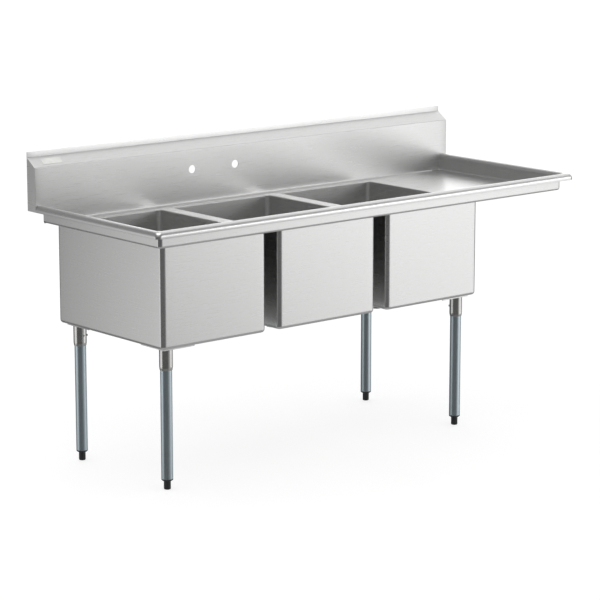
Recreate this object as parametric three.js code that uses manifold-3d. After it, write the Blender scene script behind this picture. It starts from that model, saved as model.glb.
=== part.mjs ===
// Three compartment sink with a right-hand drainboard, in millimetres.
// +X runs along the sink to the right, +Y runs back to the wall and +Z is up. The origin is on the
// floor, under the middle of the sink's overall box.

import * as THREE from "three";
import { mergeVertices } from "three/addons/utils/BufferGeometryUtils.js";
import Module from "manifold-3d";

const wasm = await Module();
wasm.setup();

// Overall sizes
const length = 1994;
const depth = 756;
const height = 1111;

// Top: a shallow pan with a rolled rim on its left, front and right sides
const sheet = 1.5;
const gap = 0.3;
const rimTop = 925;
const rimWidth = 36;
const rimDrop = 24;
const panDepth = 63.5;
const panCorner = 14;

// Backsplash
const splashDepth = 49;
const splashSlopeRise = 32;
const tileEdge = 20;
const faucetSpacing = 203.2;
const faucetHole = 30;
const faucetRise = 125.5;

// Bowls
const bowlWidth = 455;
const bowlLength = 610;
const bowlDepth = 356;
const bowlGap = 56;
const bowlFromLeft = 63;
const bowlFromFront = 60;
const bowlCorner = 17;
const bowlCove = 13;

// Drains
const drainCup = 42.5;
const drainClearance = 0.5;
const drainHoleClearance = 2;
const drainFlangeReach = 14.5;
const drainFlangeThickness = 2;
const drainRecessClearance = 3;
const drainRecessDepth = 4;
const drainCupDepth = 30;
const drainCone = 14.5;
const drainTail = 24;
const drainTailLength = 23;
const drainTailWall = 3;
const gasketThickness = 3;
const locknutHeight = 14;
const locknutRim = 3;
const locknutLugs = 8;
const locknutLugReach = 5;
const locknutLugWidth = 5;
const basketWall = 1;
const basketClearance = 3;
const basketLip = 3;
const basketRise = 8.7;
const basketTaper = 9.5;
const basketHandle = 16;
const basketPost = 3.2;
const basketKnob = 7;
const stopperClearance = 1;
const stopperLift = 3;

// Legs
const legInset = 54;
const tubeRadius = 20.65;
const tubeWall = 1.65;
const tubeDrop = 8;
const socketLength = 78.4;
const socketWall = 2.65;
const socketLipWall = 0.75;
const socketClearance = 0.5;
const socketTaper = 8;
const gussetInset = 22;
const gussetSide = 132;
const gussetEnd = 26;
const gussetPlate = 3;
const gussetFlange = 7;
const gussetFlangeWall = 2.5;
const screwDrop = 40.4;
const screwRadius = 3.7;
const screwReach = 3.2;
const sightHole = 3;

// Feet
const footRadius = 12.2;
const footHeight = 29;
const footEdge = 2.5;
const collarRise = 8.4;
const collarBand = 3;
const collarStep = 1;
const insertHeight = 30;
const studRadius = 8;
const studInFoot = 20;
const studInTube = 70;

// Label
const labelFromLeft = 47;
const labelLength = 82;
const labelWidth = 30;
const labelThickness = 0.5;

const tubeFacets = 20;
const drainFacets = 24;
const screwFacets = 12;
const rimFacets = 8;
const cutMargin = 5;

// Places worked out from the sizes above
const left = -length / 2;
const right = length / 2;
const front = -depth / 2;
const back = depth / 2;
const splashFront = back - splashDepth;
const rimRadius = rimWidth / 2;
const rimSpring = rimTop - rimRadius;
const lipBottom = rimTop - rimDrop;
const panFloor = rimTop - panDepth;
const panBottom = panFloor - sheet;
const panOverhang = rimWidth - sheet;
const bowlBottom = panFloor - bowlDepth - sheet;
const recessFloor = bowlBottom + sheet - drainRecessDepth;
const bowlMiddleY = front + bowlFromFront + bowlLength / 2;
const bowlBack = bowlMiddleY + bowlLength / 2;
const bowlPitch = bowlWidth + bowlGap;
const bowlMiddles = [0, 1, 2].map((i) => left + bowlFromLeft + bowlWidth / 2 + i * bowlPitch);
const splashFold = height - tileEdge - splashSlopeRise;
const drainFlange = drainCup + drainFlangeReach;
const drainRecess = drainFlange + drainRecessClearance;
const drainHole = drainCup + drainHoleClearance;
const gussetTop = bowlBottom - gap;
const tubeBottom = footHeight + gap + collarRise + gap;

const steel = { color: 0xc9cac9, roughness: 0.32, metalness: 1 };
const galvanised = { color: 0xa9b9c1, roughness: 0.38, metalness: 1 };
const polished = { color: 0xd5d5d3, roughness: 0.18, metalness: 1 };
const blackPlastic = { color: 0x16181a, roughness: 0.55, metalness: 0 };
const blackRubber = { color: 0x1c1c1c, roughness: 0.8, metalness: 0 };
const zinc = { color: 0x9aa0a3, roughness: 0.4, metalness: 1 };
const paper = { color: 0xf2f2ee, roughness: 0.5, metalness: 0 };

const sink = new THREE.Group();

function addMesh(name, geometry, look) {
  const mesh = new THREE.Mesh(geometry, new THREE.MeshStandardMaterial(look));
  mesh.name = name;
  sink.add(mesh);
}

// A closed three.js geometry as a solid, turned so that its faces point out.
function solidOf(geometry) {
  const bare = geometry.clone();
  bare.deleteAttribute("normal");
  bare.deleteAttribute("uv");
  const merged = mergeVertices(bare, 1e-4);
  const vertProperties = merged.attributes.position.array;
  const triVerts = new Uint32Array(merged.index.array);
  const made = new wasm.Manifold(new wasm.Mesh({ numProp: 3, vertProperties, triVerts }));
  if (made.volume() > 0) return made;
  for (let i = 0; i < triVerts.length; i += 3) {
    [triVerts[i + 1], triVerts[i + 2]] = [triVerts[i + 2], triVerts[i + 1]];
  }
  return new wasm.Manifold(new wasm.Mesh({ numProp: 3, vertProperties, triVerts }));
}

function geometryOf(solid) {
  const mesh = solid.getMesh();
  const geometry = new THREE.BufferGeometry();
  geometry.setAttribute("position", new THREE.BufferAttribute(mesh.vertProperties, 3));
  geometry.setIndex(new THREE.BufferAttribute(mesh.triVerts, 1));
  geometry.computeVertexNormals();
  return geometry;
}

function shapeOf(points) {
  return new THREE.Shape(points.map(([x, y]) => new THREE.Vector2(x, y)));
}

function extrudeZ(shape, low, high, curveSegments = 6) {
  const options = { depth: high - low, bevelEnabled: false, curveSegments };
  return solidOf(new THREE.ExtrudeGeometry(shape, options).translate(0, 0, low));
}

// An outline of [y, z] points, extruded along X.
function extrudeX(points, low, high) {
  const axes = new THREE.Matrix4().makeBasis(
    new THREE.Vector3(0, 1, 0),
    new THREE.Vector3(0, 0, 1),
    new THREE.Vector3(1, 0, 0),
  );
  const options = { depth: high - low, bevelEnabled: false };
  const geometry = new THREE.ExtrudeGeometry(shapeOf(points), options);
  return solidOf(geometry.applyMatrix4(axes).translate(low, 0, 0));
}

// An outline of [x, z] points, extruded along Y.
function extrudeY(points, low, high) {
  const axes = new THREE.Matrix4().makeBasis(
    new THREE.Vector3(1, 0, 0),
    new THREE.Vector3(0, 0, 1),
    new THREE.Vector3(0, -1, 0),
  );
  const options = { depth: high - low, bevelEnabled: false };
  const geometry = new THREE.ExtrudeGeometry(shapeOf(points), options);
  return solidOf(geometry.applyMatrix4(axes).translate(0, high, 0));
}

// An outline of [radius, z] points, turned about the upright axis through (x, y).
function turned(points, x, y, facets) {
  const outline = points.map(([r, z]) => new THREE.Vector2(r, z));
  const onAxis = points[0][0] === 0 && points.at(-1)[0] === 0;
  if (!onAxis) outline.push(outline[0].clone());
  const geometry = new THREE.LatheGeometry(outline, facets);
  return solidOf(geometry.rotateX(Math.PI / 2).translate(x, y, 0));
}

function rod(radius, from, to, facets) {
  const along = to.clone().sub(from);
  const geometry = new THREE.CylinderGeometry(radius, radius, along.length(), facets);
  const turn = new THREE.Quaternion().setFromUnitVectors(
    new THREE.Vector3(0, 1, 0),
    along.clone().normalize(),
  );
  const middle = from.clone().add(to).multiplyScalar(0.5);
  geometry.applyQuaternion(turn).translate(middle.x, middle.y, middle.z);
  return solidOf(geometry);
}

function box(x0, x1, y0, y1, z0, z1) {
  const geometry = new THREE.BoxGeometry(x1 - x0, y1 - y0, z1 - z0);
  return solidOf(geometry.translate((x0 + x1) / 2, (y0 + y1) / 2, (z0 + z1) / 2));
}

function roundedRectangle(width, deep, radius, x = 0, y = 0) {
  const w = width / 2;
  const d = deep / 2;
  const shape = new THREE.Shape();
  shape.moveTo(x - w + radius, y - d);
  shape.lineTo(x + w - radius, y - d);
  shape.absarc(x + w - radius, y - d + radius, radius, -Math.PI / 2, 0, false);
  shape.lineTo(x + w, y + d - radius);
  shape.absarc(x + w - radius, y + d - radius, radius, 0, Math.PI / 2, false);
  shape.lineTo(x - w + radius, y + d);
  shape.absarc(x - w + radius, y + d - radius, radius, Math.PI / 2, Math.PI, false);
  shape.lineTo(x - w, y - d + radius);
  shape.absarc(x - w + radius, y - d + radius, radius, Math.PI, 1.5 * Math.PI, false);
  return shape;
}

// The open line of a folded sheet, thickened to the right of its direction of travel.
function foldedSheet(line, thickness) {
  const offset = line.map((point, i) => {
    const before = i > 0 ? direction(line[i - 1], point) : direction(point, line[i + 1]);
    const after = i < line.length - 1 ? direction(point, line[i + 1]) : before;
    const normal = new THREE.Vector2(before.y + after.y, -before.x - after.x).normalize();
    const reach = thickness / (normal.x * before.y - normal.y * before.x);
    return [point[0] + normal.x * reach, point[1] + normal.y * reach];
  });
  return [...line, ...offset.reverse()];
}

function direction(a, b) {
  return new THREE.Vector2(b[0] - a[0], b[1] - a[1]).normalize();
}

// Deck pan: bowl deck and drainboard in one, with three upright sides and three bowl openings.
// The rear edge is left open, because the backsplash closes it.
function deckPan() {
  const outline = (inset, rear) => {
    const r = panCorner - inset;
    const x0 = left + panOverhang + inset;
    const x1 = right - panOverhang - inset;
    const y0 = front + panOverhang + inset;
    const shape = new THREE.Shape();
    shape.moveTo(x0, rear);
    shape.lineTo(x0, y0 + r);
    shape.absarc(x0 + r, y0 + r, r, Math.PI, 1.5 * Math.PI, false);
    shape.lineTo(x1 - r, y0);
    shape.absarc(x1 - r, y0 + r, r, -Math.PI / 2, 0, false);
    shape.lineTo(x1, rear);
    return shape;
  };
  const rear = splashFront - gap;
  let pan = extrudeZ(outline(0, rear), panBottom, rimSpring - gap);
  pan = pan.subtract(extrudeZ(outline(sheet, rear + cutMargin), panFloor, rimTop));
  for (const x of bowlMiddles) {
    const inner = bowlCorner - sheet;
    const hole = roundedRectangle(bowlWidth - 2 * sheet, bowlLength - 2 * sheet, inner, x, bowlMiddleY);
    pan = pan.subtract(extrudeZ(hole, panBottom - cutMargin, panFloor + cutMargin));
  }
  addMesh("deck_pan", geometryOf(pan), steel);
}

// Rolled rim: a half-round hollow bead with a short lip, in three rails that are mitred at the front.
function rimRails() {
  const inner = rimRadius - sheet;
  const arc = (radius, from, to) =>
    Array.from({ length: rimFacets + 1 }, (_, i) => {
      const angle = from + ((to - from) * i) / rimFacets;
      return [rimRadius + radius * Math.cos(angle), rimSpring + radius * Math.sin(angle)];
    });
  const section = [
    ...arc(rimRadius, 0, Math.PI),
    [0, lipBottom],
    [sheet, lipBottom],
    ...arc(inner, Math.PI, 0),
  ];
  const mitre = (inwards) => {
    const corner = inwards > 0 ? left : right;
    const far = corner + inwards * (depth + cutMargin);
    const outline = [
      [corner - inwards * cutMargin, front - cutMargin],
      [far, front + depth],
      [corner - inwards * cutMargin, front + depth],
    ];
    return extrudeZ(shapeOf(outline), lipBottom - cutMargin, rimTop + cutMargin);
  };
  const frontRail = extrudeX(section.map(([u, z]) => [front + u, z]), left, right)
    .subtract(mitre(1).translate([-gap / 2, 0, 0]))
    .subtract(mitre(-1).translate([gap / 2, 0, 0]));
  addMesh("rim_rail_front", geometryOf(frontRail), steel);
  for (const [side, end, inwards] of [["left", left, 1], ["right", right, -1]]) {
    const rail = extrudeY(section.map(([u, z]) => [end + inwards * u, z]), front, splashFront - gap);
    const mitred = rail.intersect(mitre(inwards).translate([-inwards * gap, 0, 0]));
    addMesh("rim_rail_" + side, geometryOf(mitred), steel);
  }
}

// Backsplash: one folded sheet with an upright face, a sloping top and an upright tile edge.
function backsplash() {
  const line = [
    [splashFront, panBottom],
    [splashFront, splashFold],
    [back - sheet, height - tileEdge],
    [back - sheet, height],
  ];
  const section = foldedSheet(line, sheet);
  const from = left + sheet + gap;
  const to = right - sheet - gap;
  let splash = extrudeX(section, from, to);
  for (const [x0, x1] of [
    [left, left + panOverhang],
    [right - panOverhang, right],
  ]) {
    const notch = box(x0, x1, splashFront - cutMargin, back, panBottom - cutMargin, lipBottom);
    splash = splash.subtract(notch);
  }
  const middle = bowlMiddles[1];
  for (const x of [middle - faucetSpacing / 2, middle + faucetSpacing / 2]) {
    const z = panFloor + faucetRise;
    const hole = rod(
      faucetHole / 2,
      new THREE.Vector3(x, splashFront - cutMargin, z),
      new THREE.Vector3(x, splashFront + sheet + cutMargin, z),
      tubeFacets,
    );
    splash = splash.subtract(hole);
  }
  addMesh("backsplash", geometryOf(splash), steel);
  const cap = [
    [splashFront, lipBottom],
    [back, lipBottom],
    [back, height],
    [back - sheet, height],
    [back - sheet, height - tileEdge],
    [splashFront, splashFold],
  ];
  addMesh("splash_end_cap_left", geometryOf(extrudeX(cap, left, left + sheet)), steel);
  addMesh("splash_end_cap_right", geometryOf(extrudeX(cap, right - sheet, right)), steel);
}

// Blank label stuck on the sloping top of the backsplash.
function label() {
  const low = new THREE.Vector2(splashFront, splashFold);
  const high = new THREE.Vector2(back - sheet, height - tileEdge);
  const along = high.clone().sub(low).normalize();
  const out = new THREE.Vector2(-along.y, along.x);
  const middle = low.clone().add(high).multiplyScalar(0.5);
  const corner = (a, b) => {
    const point = middle.clone().addScaledVector(along, a).addScaledVector(out, b);
    return [point.x, point.y];
  };
  const outline = [
    corner(-labelWidth / 2, gap),
    corner(labelWidth / 2, gap),
    corner(labelWidth / 2, gap + labelThickness),
    corner(-labelWidth / 2, gap + labelThickness),
  ];
  const from = left + labelFromLeft;
  addMesh("blank_label", geometryOf(extrudeX(outline, from, from + labelLength)), paper);
}

// A coved box: rounded upright corners and a rounded bottom edge, open at the top.
function covedBox(inset, x, top) {
  const cove = bowlCove - inset;
  const core = bowlCorner - bowlCove;
  const shape = roundedRectangle(bowlWidth - 2 * bowlCove, bowlLength - 2 * bowlCove, core, x, bowlMiddleY);
  const bottom = bowlBottom + inset;
  const options = {
    depth: top - bottom,
    bevelEnabled: true,
    bevelThickness: cove,
    bevelSize: cove,
    bevelSegments: 2,
    curveSegments: 4,
  };
  const solid = solidOf(new THREE.ExtrudeGeometry(shape, options).translate(0, 0, bottom + cove));
  const above = box(x - bowlWidth, x + bowlWidth, front, back, top, top + 2 * bowlCove + cutMargin);
  return solid.subtract(above);
}

// Bowl with its drain recess and drain hole. Its top edge is welded under the deck pan.
function bowl(name, x) {
  const shell = covedBox(0, x, panBottom - gap);
  const recess = turned(
    [[0, recessFloor - sheet], [drainRecess + sheet, recessFloor - sheet],
      [drainRecess + sheet, bowlBottom + sheet / 2], [0, bowlBottom + sheet / 2]],
    x,
    bowlMiddleY,
    drainFacets,
  );
  const dish = turned(
    [[0, recessFloor], [drainRecess, recessFloor],
      [drainRecess, bowlBottom + cutMargin], [0, bowlBottom + cutMargin]],
    x,
    bowlMiddleY,
    drainFacets,
  );
  const hole = turned(
    [[0, recessFloor - cutMargin], [drainHole, recessFloor - cutMargin],
      [drainHole, recessFloor + cutMargin], [0, recessFloor + cutMargin]],
    x,
    bowlMiddleY,
    drainFacets,
  );
  const hollow = covedBox(sheet, x, panBottom + cutMargin);
  const made = shell.add(recess).subtract(hollow).subtract(dish).subtract(hole);
  addMesh("bowl_" + name, geometryOf(made), steel);
}

// Drain: flanged cup with a threaded tail, held under the bowl by a gasket and a locknut, and a
// lift-out strainer basket with a rubber stopper under it.
function drain(name, x) {
  const y = bowlMiddleY;
  const flangeLow = recessFloor + gap;
  const flangeTop = flangeLow + drainFlangeThickness;
  const coneTop = flangeTop - drainCupDepth;
  const coneBottom = coneTop - drainCone;
  const tailBottom = coneBottom - drainTailLength;
  const cup = drainCup - sheet;
  const bore = drainTail - drainTailWall;
  const body = [
    [drainFlange, flangeTop],
    [drainFlange, flangeLow],
    [drainCup, flangeLow],
    [drainCup, coneTop - sheet],
    [drainTail, coneBottom - sheet],
    [drainTail, tailBottom],
    [bore, tailBottom],
    [bore, coneBottom],
    [cup, coneTop],
    [cup, flangeTop],
  ];
  addMesh("drain_body_" + name, geometryOf(turned(body, x, y, drainFacets)), polished);

  const gasketTop = recessFloor - sheet - gap;
  const gasketLow = gasketTop - gasketThickness;
  const hug = drainCup + drainClearance;
  const gasket = [
    [hug, gasketLow],
    [drainFlange, gasketLow],
    [drainFlange, gasketTop],
    [hug, gasketTop],
  ];
  addMesh("drain_gasket_" + name, geometryOf(turned(gasket, x, y, drainFacets)), blackRubber);

  const nutTop = gasketLow - gap;
  const nutLow = nutTop - locknutHeight;
  const nut = [
    [hug, nutLow],
    [drainFlange - locknutLugReach, nutLow],
    [drainFlange - locknutLugReach, nutTop - locknutRim],
    [drainFlange, nutTop - locknutRim],
    [drainFlange, nutTop],
    [hug, nutTop],
  ];
  let locknut = turned(nut, x, y, drainFacets);
  for (let i = 0; i < locknutLugs; i += 1) {
    const lug = new THREE.BoxGeometry(2 * locknutLugReach, locknutLugWidth, locknutHeight);
    lug.translate(drainFlange - locknutLugReach, 0, nutLow + locknutHeight / 2);
    lug.rotateZ((2 * Math.PI * i) / locknutLugs).translate(x, y, 0);
    locknut = locknut.add(solidOf(lug));
  }
  addMesh("drain_locknut_" + name, geometryOf(locknut), zinc);

  const basketRadius = cup - basketClearance;
  const lipLow = flangeTop + gap;
  const lipTop = lipLow + basketWall;
  const basketLow = coneBottom + basketRise;
  const basketShoulder = coneTop + basketClearance;
  const basketFloor = basketRadius - basketTaper;
  const inside = basketRadius - basketWall;
  const basket = [
    [0, basketLow],
    [basketFloor, basketLow],
    [basketRadius, basketShoulder],
    [basketRadius, lipLow],
    [cup + basketLip, lipLow],
    [cup + basketLip, lipTop],
    [inside, lipTop],
    [inside, basketShoulder + basketWall / 2],
    [basketFloor - basketWall / 2, basketLow + basketWall],
    [basketPost, basketLow + basketWall],
    [basketPost, flangeTop + basketHandle - basketKnob],
    [basketKnob, flangeTop + basketHandle - basketKnob + basketWall],
    [basketKnob, flangeTop + basketHandle - basketWall],
    [basketPost, flangeTop + basketHandle],
    [0, flangeTop + basketHandle],
  ];
  addMesh("strainer_basket_" + name, geometryOf(turned(basket, x, y, tubeFacets)), polished);

  const stopperTop = basketLow - gap;
  const stopperLow = coneBottom + stopperLift;
  const stopper = [
    [0, stopperLow],
    [bore - stopperClearance, stopperLow],
    [bore + stopperLift, (stopperLow + stopperTop) / 2],
    [bore + stopperLift, stopperTop - basketWall],
    [basketKnob, stopperTop],
    [0, stopperTop],
  ];
  addMesh("basket_stopper_" + name, geometryOf(turned(stopper, x, y, tubeFacets)), blackRubber);
}

// One leg under an outer bowl corner. inX and inY point from that corner into the sink.
function leg(name, x, y, inX, inY) {
  const cornerX = x - inX * (legInset - gussetInset);
  const cornerY = y - inY * (legInset - gussetInset);
  const place = ([u, v]) => [cornerX + inX * u, cornerY + inY * v];
  const plate = [
    [0, 0],
    [gussetSide, 0],
    [gussetSide, gussetEnd],
    [gussetEnd, gussetSide],
    [0, gussetSide],
  ];
  const pocket = [
    [gussetFlangeWall, gussetFlangeWall],
    [gussetSide + cutMargin, gussetFlangeWall],
    [gussetSide + cutMargin, gussetSide + cutMargin],
    [gussetFlangeWall, gussetSide + cutMargin],
  ];
  const webLow = gussetTop - gussetPlate;
  const gussetLow = gussetTop - gussetFlange;
  const gusset = extrudeZ(shapeOf(plate.map(place)), gussetLow, gussetTop).subtract(
    extrudeZ(shapeOf(pocket.map(place)), gussetLow - cutMargin, webLow),
  );
  addMesh("gusset_" + name, geometryOf(gusset), steel);

  const socketTop = webLow - gap;
  const socketBottom = socketTop - socketLength;
  const bore = tubeRadius + socketClearance;
  const socketRadius = bore + socketWall;
  const screwRise = socketTop - screwDrop;
  const socketLine = [
    [bore, socketBottom],
    [bore + socketLipWall, socketBottom],
    [socketRadius, socketBottom + socketTaper],
    [socketRadius, socketTop],
    [bore, socketTop],
  ];
  const across = new THREE.Vector3(inX, inY, 0).normalize();
  const axis = new THREE.Vector3(x, y, screwRise);
  const at = (distance) => axis.clone().addScaledVector(across, distance);
  const screwHole = rod(screwRadius + gap, at(bore - cutMargin), at(socketRadius + cutMargin), screwFacets);
  const sight = rod(
    sightHole,
    new THREE.Vector3(x, y + inY * (bore - cutMargin), screwRise),
    new THREE.Vector3(x, y + inY * (socketRadius + cutMargin), screwRise),
    screwFacets,
  );
  const socket = turned(socketLine, x, y, tubeFacets).subtract(screwHole).subtract(sight);
  addMesh("leg_socket_" + name, geometryOf(socket), polished);
  const screw = rod(screwRadius, at(tubeRadius + gap), at(socketRadius + screwReach), screwFacets);
  addMesh("set_screw_" + name, geometryOf(screw), zinc);

  const tubeBore = tubeRadius - tubeWall;
  const tubeLine = [
    [tubeBore, tubeBottom],
    [tubeRadius, tubeBottom],
    [tubeRadius, socketTop - tubeDrop],
    [tubeBore, socketTop - tubeDrop],
  ];
  addMesh("leg_tube_" + name, geometryOf(turned(tubeLine, x, y, tubeFacets)), galvanised);

  const studBore = studRadius + socketClearance;
  const collarTop = tubeBottom - gap;
  const collarLow = footHeight + gap;
  const insertLine = [
    [studBore, collarLow],
    [footRadius + collarStep, collarLow],
    [tubeRadius, collarTop - collarBand],
    [tubeRadius, collarTop],
    [tubeBore - gap, collarTop],
    [tubeBore - gap, collarTop + insertHeight],
    [studBore, collarTop + insertHeight],
  ];
  addMesh("foot_insert_" + name, geometryOf(turned(insertLine, x, y, tubeFacets)), blackPlastic);

  const studLow = footHeight - studInFoot;
  const studLine = [
    [0, studLow],
    [studRadius, studLow],
    [studRadius, footHeight + studInTube],
    [0, footHeight + studInTube],
  ];
  addMesh("foot_stud_" + name, geometryOf(turned(studLine, x, y, tubeFacets)), zinc);

  const footLine = [
    [0, 0],
    [footRadius - footEdge, 0],
    [footRadius, footEdge],
    [footRadius, footHeight],
    [studBore, footHeight],
    [studBore, studLow - gap],
    [0, studLow - gap],
  ];
  addMesh("bullet_foot_" + name, geometryOf(turned(footLine, x, y, tubeFacets)), blackPlastic);
}

deckPan();
rimRails();
backsplash();
label();
["left", "centre", "right"].forEach((name, i) => {
  bowl(name, bowlMiddles[i]);
  drain(name, bowlMiddles[i]);
});
const legLeft = bowlMiddles[0] - bowlWidth / 2 + legInset;
const legRight = bowlMiddles[2] + bowlWidth / 2 - legInset;
const legFront = front + bowlFromFront + legInset;
const legRear = bowlBack - legInset;
leg("front_left", legLeft, legFront, 1, 1);
leg("front_right", legRight, legFront, -1, 1);
leg("rear_left", legLeft, legRear, 1, -1);
leg("rear_right", legRight, legRear, -1, -1);

export default sink;
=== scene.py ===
import math

import bmesh
import bpy
from mathutils import Matrix, Vector
from mathutils.geometry import delaunay_2d_cdt


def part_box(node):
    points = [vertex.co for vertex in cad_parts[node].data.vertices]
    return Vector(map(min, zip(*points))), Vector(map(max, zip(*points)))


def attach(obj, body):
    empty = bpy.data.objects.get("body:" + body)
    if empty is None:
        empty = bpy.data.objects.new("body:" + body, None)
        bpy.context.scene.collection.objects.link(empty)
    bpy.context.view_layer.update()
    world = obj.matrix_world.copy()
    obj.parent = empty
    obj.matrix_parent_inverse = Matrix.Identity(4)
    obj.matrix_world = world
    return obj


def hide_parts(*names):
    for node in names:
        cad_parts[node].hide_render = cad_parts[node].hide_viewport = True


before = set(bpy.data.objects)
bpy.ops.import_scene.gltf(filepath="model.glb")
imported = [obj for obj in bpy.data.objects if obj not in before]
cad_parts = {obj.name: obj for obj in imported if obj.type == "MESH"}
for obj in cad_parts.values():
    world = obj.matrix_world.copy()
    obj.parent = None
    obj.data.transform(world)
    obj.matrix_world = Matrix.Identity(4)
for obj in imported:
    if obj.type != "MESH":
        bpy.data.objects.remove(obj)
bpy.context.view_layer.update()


# ---------------------------------------------------------------------------------------------
# Deck and rolled rim: one stainless sheet, folded up on three sides and rolled over into a hollow
# bead with a short lip. The front corners are welded and polished smooth. The bowls are welded to
# it from below.
# ---------------------------------------------------------------------------------------------
rail_low, rail_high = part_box("rim_rail_front")
pan_low, pan_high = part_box("deck_pan")
splash_low, splash_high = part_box("backsplash")
SHEET = 0.0015
DECK_TOP = pan_low.z + SHEET
DECK_REAR = splash_low.y
RIM_WIDTH = pan_low.x + SHEET - rail_low.x
BEAD_RADIUS = RIM_WIDTH / 2
BEAD_SPRING = rail_high.z - BEAD_RADIUS
BEAD_CORNER = 0.018
PAN_CORNER = 0.0125
DECK_COVE = 0.008
BOWL_LIP = 0.004
BOWL_CORNER = 0.0155
BOWL_COVE = 0.0115
ARC_STEPS = 10
BEAD_STEPS = 24
COVE_STEPS = 8
SAME_POINT = 1e-6
EASED_ANGLE = math.radians(35)
NOISE_LOW, NOISE_HIGH = 0.3, 0.7
GRAIN_FINE, GRAIN_BROAD = (9, 1500, 1), (9, 600, 1)
GRAIN_SPREAD, GRAIN_TURN = 0.72, 0.25
GRAIN_DEPTH = 0.000001
NAMES = ("left", "centre", "right")


def arc(centre, radius, start, end, steps):
    """Points on a circle in the plane, from one angle in degrees to another."""
    points = []
    for i in range(steps + 1):
        angle = math.radians(start + (end - start) * i / steps)
        points.append((centre[0] + radius * math.cos(angle), centre[1] + radius * math.sin(angle)))
    return points


def rounded_loop(x0, x1, y0, y1, radius, straight=1):
    """A closed rounded rectangle, each straight side cut into equal lengths."""
    corners = (
        ((x1 - radius, y0 + radius), 270),
        ((x1 - radius, y1 - radius), 0),
        ((x0 + radius, y1 - radius), 90),
        ((x0 + radius, y0 + radius), 180),
    )
    loop = []
    for centre, start in corners:
        bend = arc(centre, radius, start, start + 90, ARC_STEPS)
        if loop:
            loop += between(loop[-1], bend[0], straight)
        loop += bend
    return loop + between(loop[-1], loop[0], straight)


def between(a, b, parts):
    """The points that cut a line into equal parts, without its ends."""
    return [
        (a[0] + (b[0] - a[0]) * i / parts, a[1] + (b[1] - a[1]) * i / parts) for i in range(1, parts)
    ]


def skin(rows, closed):
    """Faces between rows of equally many points."""
    count = len(rows[0])
    verts = [point for row in rows for point in row]
    faces = []
    for r in range(len(rows) - 1):
        for i in range(count if closed else count - 1):
            j = (i + 1) % count
            faces.append((r * count + i, r * count + j, (r + 1) * count + j, (r + 1) * count + i))
    return verts, faces


def grain_map(mesh):
    """A flat map whose U runs level along each face, as the mill's grain does."""
    layer = mesh.uv_layers.get("grain") or mesh.uv_layers.new(name="grain")
    for face in mesh.polygons:
        if abs(face.normal.z) > 0.8:
            along, across = Vector((1, 0, 0)), Vector((0, 1, 0))
        else:
            along = Vector((0, 0, 1)).cross(face.normal).normalized()
            across = Vector((0, 0, 1))
        for loop in face.loop_indices:
            at = mesh.vertices[mesh.loops[loop].vertex_index].co
            layer.data[loop].uv = (at.dot(along), at.dot(across))


def finish_mesh(piece, thickness=0.0, bevel=0.0):
    """Thickens a sheet away from its shown side, eases hard edges and evens the shading."""
    if thickness:
        solid = piece.modifiers.new("sheet", "SOLIDIFY")
        solid.thickness = thickness
        solid.offset = -1
        solid.use_even_offset = True
    if bevel:
        ease = piece.modifiers.new("ease", "BEVEL")
        ease.width = bevel
        ease.segments = 2
        ease.limit_method = "ANGLE"
        ease.angle_limit = EASED_ANGLE
    even = piece.modifiers.new("even", "WEIGHTED_NORMAL")
    even.keep_sharp = True
    bpy.context.view_layer.update()
    depsgraph = bpy.context.evaluated_depsgraph_get()
    mesh = bpy.data.meshes.new_from_object(piece.evaluated_get(depsgraph))
    piece.modifiers.clear()
    piece.data = mesh
    grain_map(mesh)


def new_piece(name, verts, faces):
    """A smooth-shaded piece in the scene, with points at the same place joined."""
    mesh = bpy.data.meshes.new(name)
    mesh.from_pydata([tuple(v) for v in verts], [], faces)
    tidy = bmesh.new()
    tidy.from_mesh(mesh)
    bmesh.ops.remove_doubles(tidy, verts=tidy.verts, dist=SAME_POINT)
    tidy.to_mesh(mesh)
    tidy.free()
    for face in mesh.polygons:
        face.use_smooth = True
    piece = bpy.data.objects.new(name, mesh)
    bpy.context.scene.collection.objects.link(piece)
    return piece


def node_material(name, colour, metallic, roughness):
    material = bpy.data.materials.new(name)
    material.use_nodes = True
    shader = material.node_tree.nodes["Principled BSDF"]
    shader.inputs["Base Color"].default_value = (*colour, 1)
    shader.inputs["Metallic"].default_value = metallic
    shader.inputs["Roughness"].default_value = roughness
    return material, material.node_tree, shader


def streaks(tree, vector, stretch):
    """Noise drawn out along one axis by the scale of each axis."""
    mapping = tree.nodes.new("ShaderNodeMapping")
    mapping.inputs["Scale"].default_value = stretch
    noise = tree.nodes.new("ShaderNodeTexNoise")
    noise.inputs["Scale"].default_value = 1.0
    noise.inputs["Detail"].default_value = 3.0
    tree.links.new(vector, mapping.inputs["Vector"])
    tree.links.new(mapping.outputs["Vector"], noise.inputs["Vector"])
    return noise.outputs["Fac"]


def remap(tree, value, low, high):
    """Spreads noise over a range of plain values."""
    node = tree.nodes.new("ShaderNodeMapRange")
    node.inputs["From Min"].default_value = NOISE_LOW
    node.inputs["From Max"].default_value = NOISE_HIGH
    node.inputs["To Min"].default_value = low
    node.inputs["To Max"].default_value = high
    tree.links.new(value, node.inputs["Value"])
    return node.outputs["Result"]


def tint(tree, value, low, high):
    """Spreads noise between two colours."""
    ramp = tree.nodes.new("ShaderNodeValToRGB")
    ramp.color_ramp.elements[0].position = NOISE_LOW
    ramp.color_ramp.elements[0].color = (*low, 1)
    ramp.color_ramp.elements[1].position = NOISE_HIGH
    ramp.color_ramp.elements[1].color = (*high, 1)
    tree.links.new(value, ramp.inputs["Fac"])
    return ramp.outputs["Color"]


def bumped(tree, shader, value, distance, strength):
    bump = tree.nodes.new("ShaderNodeBump")
    bump.inputs["Distance"].default_value = distance
    bump.inputs["Strength"].default_value = strength
    tree.links.new(value, bump.inputs["Height"])
    tree.links.new(bump.outputs["Normal"], shader.inputs["Normal"])


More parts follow.
